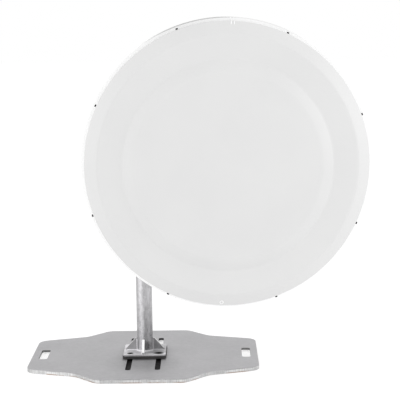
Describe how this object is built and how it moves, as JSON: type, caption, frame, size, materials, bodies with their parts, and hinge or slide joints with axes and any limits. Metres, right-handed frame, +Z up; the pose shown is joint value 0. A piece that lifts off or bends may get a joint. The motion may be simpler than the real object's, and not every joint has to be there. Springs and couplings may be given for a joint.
{
  "type": "parabolic dish antenna",
  "caption": "Round dish antenna under a white moulded radome, clamped beside a short steel mast that is bolted in the slots of a heavy steel floor plate with handholds.",
  "frame": {"origin": "on the floor, on the underside of the floor plate, straight under the mast's axis with the foot at the middle of its slots", "axes": "+Z up along the mast, +X to the right along the floor plate's long side as seen from the front, and the dish faces -Y, turned 3 degrees towards +X"},
  "size_m": [1.2367, 0.8646, 1.2854],
  "materials": {
    "galvanised_steel": "hot-dip galvanised, matt and mottled",
    "zinc_plated": "bright zinc plate",
    "black_rubber": "matt black",
    "black_steel": "black oxide",
    "white_aluminium": "white powder coat",
    "radome_plastic": "off-white, satin"
  },
  "bodies": {
    "floor_plate": {"base_plate": "galvanised_steel"},
    "mast": {"slide_bar_left": "black_steel", "slide_bar_right": "black_steel", "foot_pad": "black_rubber", "foot_flange": "galvanised_steel", "gusset_front": "galvanised_steel", "gusset_back": "galvanised_steel", "gusset_left": "galvanised_steel", "gusset_right": "galvanised_steel", "mast_tube": "galvanised_steel", "mast_cap": "black_rubber", "foot_screw_1": "black_steel", "foot_screw_2": "black_steel", "foot_screw_3": "black_steel", "foot_screw_4": "black_steel"},
    "clamp_head": {"clamp_front_upper": "galvanised_steel", "clamp_front_lower": "galvanised_steel", "clamp_back_upper": "galvanised_steel", "clamp_back_lower": "galvanised_steel", "clamp_bolt_upper_left": "zinc_plated", "clamp_bolt_upper_right": "zinc_plated", "clamp_bolt_lower_left": "zinc_plated", "clamp_bolt_lower_right": "zinc_plated", "pan_plate": "galvanised_steel", "offset_arm": "galvanised_steel", "yoke_cheek_left": "galvanised_steel", "yoke_cheek_right": "galvanised_steel", "pivot_bolt_left": "zinc_plated", "pivot_bolt_right": "zinc_plated", "lock_bolt_left": "zinc_plated", "lock_bolt_right": "zinc_plated"},
    "dish": {"hub_bracket": "galvanised_steel", "hub_ring": "galvanised_steel", "feed_flange": "zinc_plated", "reflector": "white_aluminium", "rim_ring": "white_aluminium", "radome": "radome_plastic", "rim_screw_1": "black_steel", "rim_screw_2": "black_steel", "rim_screw_3": "black_steel", "rim_screw_4": "black_steel", "rim_screw_5": "black_steel", "rim_screw_6": "black_steel", "rim_screw_7": "black_steel", "rim_screw_8": "black_steel"}
  },
  "joints": [
    {"name": "foot_slide", "type": "slide", "parent": "floor_plate", "child": "mast", "axis": [0, -1, 0], "range_m": [-0.065, 0.065]},
    {"name": "azimuth", "type": "hinge", "parent": "mast", "child": "clamp_head", "pos_m": [0, 0, 0.788], "axis": [0, 0, 1], "continuous": true},
    {"name": "elevation", "type": "hinge", "parent": "clamp_head", "child": "dish", "pos_m": [0.29822, -0.1492, 0.788], "axis": [-0.9986, -0.0523, 0], "range_deg": [-15, 15]}
  ]
}
